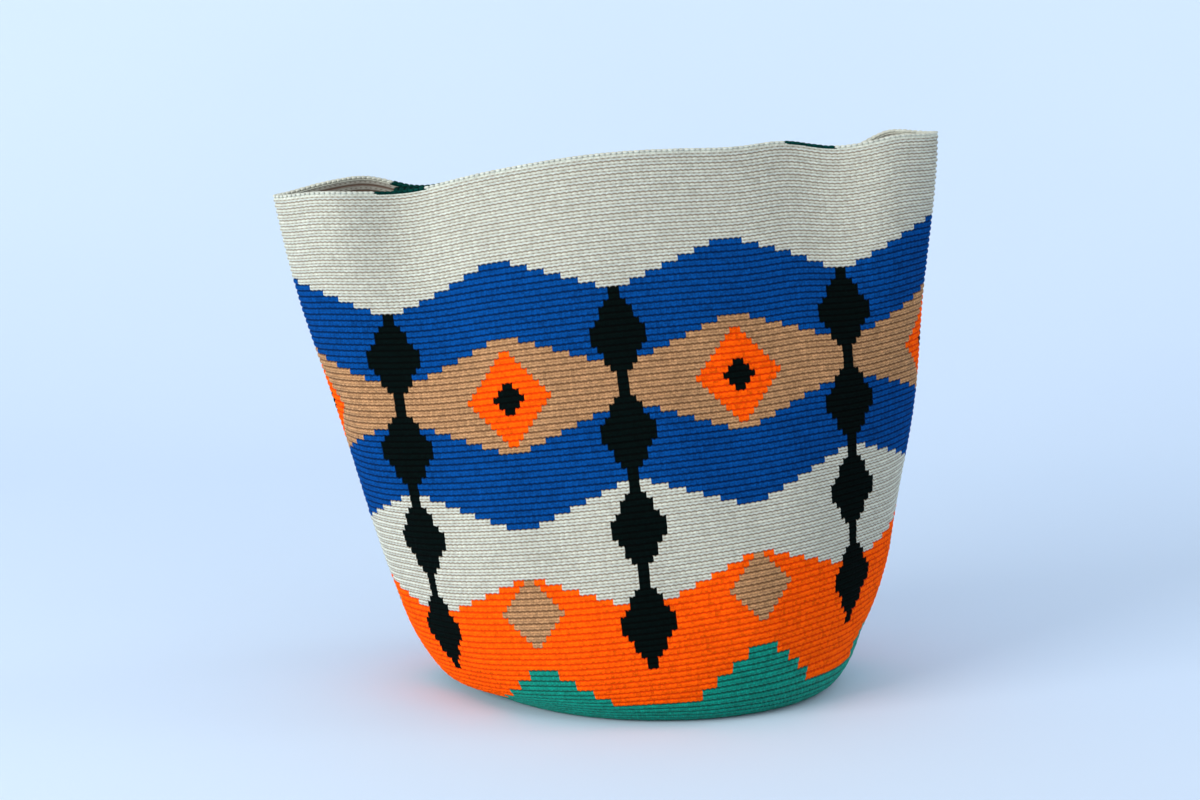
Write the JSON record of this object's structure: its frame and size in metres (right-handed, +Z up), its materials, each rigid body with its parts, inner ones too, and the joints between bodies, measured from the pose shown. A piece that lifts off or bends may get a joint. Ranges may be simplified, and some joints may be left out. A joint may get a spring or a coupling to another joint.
{
  "type": "crocheted bucket bag",
  "caption": "Large soft crocheted bucket bag with a round flat base, a pinched wide mouth and flat handles tucked inside.",
  "frame": {"origin": "middle of the flat base, on the surface that the bag stands on", "axes": "+X along the wide mouth, to the right as seen from the front; -Y is the front; +Z up"},
  "size_m": [0.3958, 0.2298, 0.3365],
  "materials": {
    "crochet": "matte cotton crochet",
    "handle": "matte flat cotton strap",
    "cream": "matte cotton yarn",
    "blue": "matte cotton yarn",
    "tan": "matte cotton yarn",
    "orange": "matte cotton yarn",
    "green": "matte cotton yarn",
    "dark": "matte cotton yarn"
  },
  "bodies": {
    "root": {"bag_body": "crochet", "front_handle": "handle", "back_handle": "handle"}
  },
  "joints": []
}
